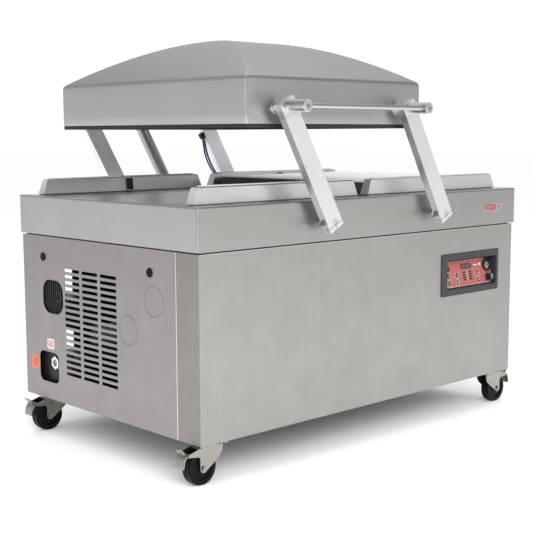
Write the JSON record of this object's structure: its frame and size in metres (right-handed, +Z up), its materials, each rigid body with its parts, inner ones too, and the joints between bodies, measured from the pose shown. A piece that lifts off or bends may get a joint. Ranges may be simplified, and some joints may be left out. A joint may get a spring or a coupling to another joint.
{
  "type": "double chamber vacuum packing machine",
  "caption": "Floor-standing vacuum packing machine with a swing-over domed lid on parallel arms, sloped counter bars, a recessed control panel and braked casters.",
  "frame": {"origin": "on the floor under the middle of the whole machine, 7 mm to the right of the worktable's middle", "axes": "+X to the right along the front, +Y to the rear, +Z up; the control panel and the handle face -Y"},
  "size_m": [1.564, 1.19, 1.282],
  "materials": {
    "stainless_front": "vertical brushed stainless sheet",
    "stainless_side": "vertical brushed stainless sheet",
    "stainless_table": "fine satin stainless plate",
    "stainless_lid": "bead blasted stainless shell",
    "stainless_small": "turned and satin stainless",
    "frame_steel": "grey powder coat",
    "bar_aluminium": "satin anodised",
    "arm_aluminium": "fine satin anodised",
    "silicone": "matt silicone rubber",
    "black_rubber": "matt black foam rubber",
    "black_plastic": "fine moulded texture",
    "bezel_plastic": "fine moulded texture",
    "key_plastic": "embossed membrane key",
    "membrane_red": "matt printed membrane",
    "badge_plain": "plain domed plate without marks",
    "plate_plastic": "cutting board plastic",
    "pump_casting": "dark painted casting",
    "box_paint": "light grey powder coat",
    "pipe_paint": "grey painted pipe",
    "zinc": "bright zinc plated pressing",
    "wheel_nylon": "black polyamide",
    "cable_blue": "polyurethane hose"
  },
  "bodies": {
    "root": {"chassis_frame": "frame_steel", "front_panel": "stainless_front", "left_side_panel": "stainless_side", "right_side_panel": "stainless_side", "rear_panel": "stainless_side", "panel_screws": "stainless_small", "worktable": "stainless_table", "counter_bars": "bar_aluminium", "bar_silicones": "silicone", "nozzle_blocks": "black_plastic", "filler_plate": "plate_plastic", "pivot_brackets": "stainless_small", "control_bezel": "bezel_plastic", "control_membrane": "membrane_red", "vacuum_gauge": "black_plastic", "blank_badges": "badge_plain", "vacuum_pump": "pump_casting", "oil_sight_glass": "stainless_small", "vacuum_manifold": "pipe_paint", "electrical_box": "box_paint", "cable_gland": "black_plastic", "caster_plates": "zinc"},
    "arm_fl": {"arm_tube_fl": "arm_aluminium", "arm_block_fl": "arm_aluminium"},
    "arm_fr": {"arm_tube_fr": "arm_aluminium", "arm_block_fr": "arm_aluminium"},
    "arm_rl": {"arm_tube_rl": "arm_aluminium", "arm_block_rl": "arm_aluminium"},
    "arm_rr": {"arm_tube_rr": "arm_aluminium", "arm_block_rr": "arm_aluminium", "arm_cables": "cable_blue"},
    "balance": {"balance_tube": "stainless_small"},
    "lid": {"lid_shell": "stainless_lid", "lid_gasket": "black_rubber", "lid_pivots": "stainless_small", "handle_rod": "stainless_small", "seal_bar_guides": "stainless_small"},
    "seal_front": {"seal_bar_front": "bar_aluminium"},
    "seal_rear": {"seal_bar_rear": "bar_aluminium"},
    "knob": {"control_knob": "black_plastic"},
    "key1": {"key_1": "key_plastic"},
    "key2": {"key_2": "key_plastic"},
    "key3": {"key_3": "key_plastic"},
    "key4": {"key_4": "key_plastic"},
    "key5": {"key_5": "key_plastic"},
    "key6": {"key_6": "key_plastic"},
    "lock_front": {"panel_lock_front": "black_plastic"},
    "lock_rear": {"panel_lock_rear": "black_plastic"},
    "fork_fl": {"caster_fork_fl": "zinc"},
    "wheel_fl": {"caster_wheel_fl": "wheel_nylon"},
    "brake_fl": {"caster_brake_fl": "zinc"},
    "fork_fr": {"caster_fork_fr": "zinc"},
    "wheel_fr": {"caster_wheel_fr": "wheel_nylon"},
    "brake_fr": {"caster_brake_fr": "zinc"},
    "fork_rl": {"caster_fork_rl": "zinc"},
    "wheel_rl": {"caster_wheel_rl": "wheel_nylon"},
    "brake_rl": {"caster_brake_rl": "zinc"},
    "fork_rr": {"caster_fork_rr": "zinc"},
    "wheel_rr": {"caster_wheel_rr": "wheel_nylon"},
    "brake_rr": {"caster_brake_rr": "zinc"}
  },
  "joints": [
    {"name": "lid_swing", "type": "hinge", "parent": "root", "child": "arm_fl", "pos_m": [-0.271, -0.5075, 0.725], "axis": [0, 1, 0], "range_deg": [-42, 100]},
    {"name": "arm_swing_fr", "type": "hinge", "parent": "root", "child": "arm_fr", "pos_m": [0.257, -0.5075, 0.725], "axis": [0, 1, 0], "range_deg": [-42, 100]},
    {"name": "arm_swing_rl", "type": "hinge", "parent": "root", "child": "arm_rl", "pos_m": [-0.271, 0.5075, 0.725], "axis": [0, 1, 0], "range_deg": [-42, 100]},
    {"name": "arm_swing_rr", "type": "hinge", "parent": "root", "child": "arm_rr", "pos_m": [0.257, 0.5075, 0.725], "axis": [0, 1, 0], "range_deg": [-42, 100]},
    {"name": "balance_swing", "type": "hinge", "parent": "root", "child": "balance", "pos_m": [-0.007, 0.569, 0.725], "axis": [0, 1, 0], "range_deg": [-42, 100]},
    {"name": "lid_level", "type": "hinge", "parent": "arm_fl", "child": "lid", "pos_m": [-0.45765, -0.5075, 1.06173], "axis": [0, 1, 0], "range_deg": [-100, 42]},
    {"name": "seal_press_front", "type": "slide", "parent": "lid", "child": "seal_front", "axis": [0, 0, -1], "range_m": [0, 0.006], "stiffness_N_per_m": 6000, "springref_m": -0.006},
    {"name": "seal_press_rear", "type": "slide", "parent": "lid", "child": "seal_rear", "axis": [0, 0, -1], "range_m": [0, 0.006], "stiffness_N_per_m": 6000, "springref_m": -0.006},
    {"name": "knob_turn", "type": "hinge", "parent": "root", "child": "knob", "pos_m": [0.6055, -0.44241, 0.47457], "axis": [0, -0.9781, 0.2079], "range_deg": [-140, 140]},
    {"name": "key_1_press", "type": "slide", "parent": "root", "child": "key1", "axis": [0, 0.9781, -0.2079], "range_m": [0, 0.0015], "stiffness_N_per_m": 900, "springref_m": -0.0005},
    {"name": "key_2_press", "type": "slide", "parent": "root", "child": "key2", "axis": [0, 0.9781, -0.2079], "range_m": [0, 0.0015], "stiffness_N_per_m": 900, "springref_m": -0.0005},
    {"name": "key_3_press", "type": "slide", "parent": "root", "child": "key3", "axis": [0, 0.9781, -0.2079], "range_m": [0, 0.0015], "stiffness_N_per_m": 900, "springref_m": -0.0005},
    {"name": "key_4_press", "type": "slide", "parent": "root", "child": "key4", "axis": [0, 0.9781, -0.2079], "range_m": [0, 0.0015], "stiffness_N_per_m": 900, "springref_m": -0.0005},
    {"name": "key_5_press", "type": "slide", "parent": "root", "child": "key5", "axis": [0, 0.9781, -0.2079], "range_m": [0, 0.0015], "stiffness_N_per_m": 900, "springref_m": -0.0005},
    {"name": "key_6_press", "type": "slide", "parent": "root", "child": "key6", "axis": [0, 0.9781, -0.2079], "range_m": [0, 0.0015], "stiffness_N_per_m": 900, "springref_m": -0.0005},
    {"name": "lock_front_turn", "type": "hinge", "parent": "root", "child": "lock_front", "pos_m": [-0.7405, -0.236, 0.592], "axis": [-1, 0, 0], "range_deg": [0, 90]},
    {"name": "lock_rear_turn", "type": "hinge", "parent": "root", "child": "lock_rear", "pos_m": [-0.7405, 0.336, 0.592], "axis": [-1, 0, 0], "range_deg": [0, 90]},
    {"name": "swivel_fl", "type": "hinge", "parent": "root", "child": "fork_fl", "pos_m": [-0.672, -0.405, 0.115], "axis": [0, 0, 1], "continuous": true},
    {"name": "roll_fl", "type": "hinge", "parent": "fork_fl", "child": "wheel_fl", "pos_m": [-0.704, -0.405, 0.05], "axis": [0, 1, 0], "continuous": true},
    {"name": "brake_pedal_fl", "type": "hinge", "parent": "fork_fl", "child": "brake_fl", "pos_m": [-0.754, -0.405, 0.095], "axis": [0, -1, 0], "range_deg": [0, 12]},
    {"name": "swivel_fr", "type": "hinge", "parent": "root", "child": "fork_fr", "pos_m": [0.672, -0.405, 0.115], "axis": [0, 0, 1], "continuous": true},
    {"name": "roll_fr", "type": "hinge", "parent": "fork_fr", "child": "wheel_fr", "pos_m": [0.704, -0.405, 0.05], "axis": [0, 1, 0], "continuous": true},
    {"name": "brake_pedal_fr", "type": "hinge", "parent": "fork_fr", "child": "brake_fr", "pos_m": [0.754, -0.405, 0.095], "axis": [0, 1, 0], "range_deg": [0, 12]},
    {"name": "swivel_rl", "type": "hinge", "parent": "root", "child": "fork_rl", "pos_m": [-0.672, 0.399, 0.115], "axis": [0, 0, 1], "continuous": true},
    {"name": "roll_rl", "type": "hinge", "parent": "fork_rl", "child": "wheel_rl", "pos_m": [-0.704, 0.399, 0.05], "axis": [0, 1, 0], "continuous": true},
    {"name": "brake_pedal_rl", "type": "hinge", "parent": "fork_rl", "child": "brake_rl", "pos_m": [-0.754, 0.399, 0.095], "axis": [0, -1, 0], "range_deg": [0, 12]},
    {"name": "swivel_rr", "type": "hinge", "parent": "root", "child": "fork_rr", "pos_m": [0.672, 0.399, 0.115], "axis": [0, 0, 1], "continuous": true},
    {"name": "roll_rr", "type": "hinge", "parent": "fork_rr", "child": "wheel_rr", "pos_m": [0.704, 0.399, 0.05], "axis": [0, 1, 0], "continuous": true},
    {"name": "brake_pedal_rr", "type": "hinge", "parent": "fork_rr", "child": "brake_rr", "pos_m": [0.754, 0.399, 0.095], "axis": [0, 1, 0], "range_deg": [0, 12]}
  ],
  "couplings": [
    {"joint": "arm_swing_fr", "follows": "lid_swing", "ratio": 1},
    {"joint": "arm_swing_rl", "follows": "lid_swing", "ratio": 1},
    {"joint": "arm_swing_rr", "follows": "lid_swing", "ratio": 1},
    {"joint": "balance_swing", "follows": "lid_swing", "ratio": 1},
    {"joint": "lid_level", "follows": "lid_swing", "ratio": -1},
    {"joint": "seal_press_rear", "follows": "seal_press_front", "ratio": 1}
  ]
}
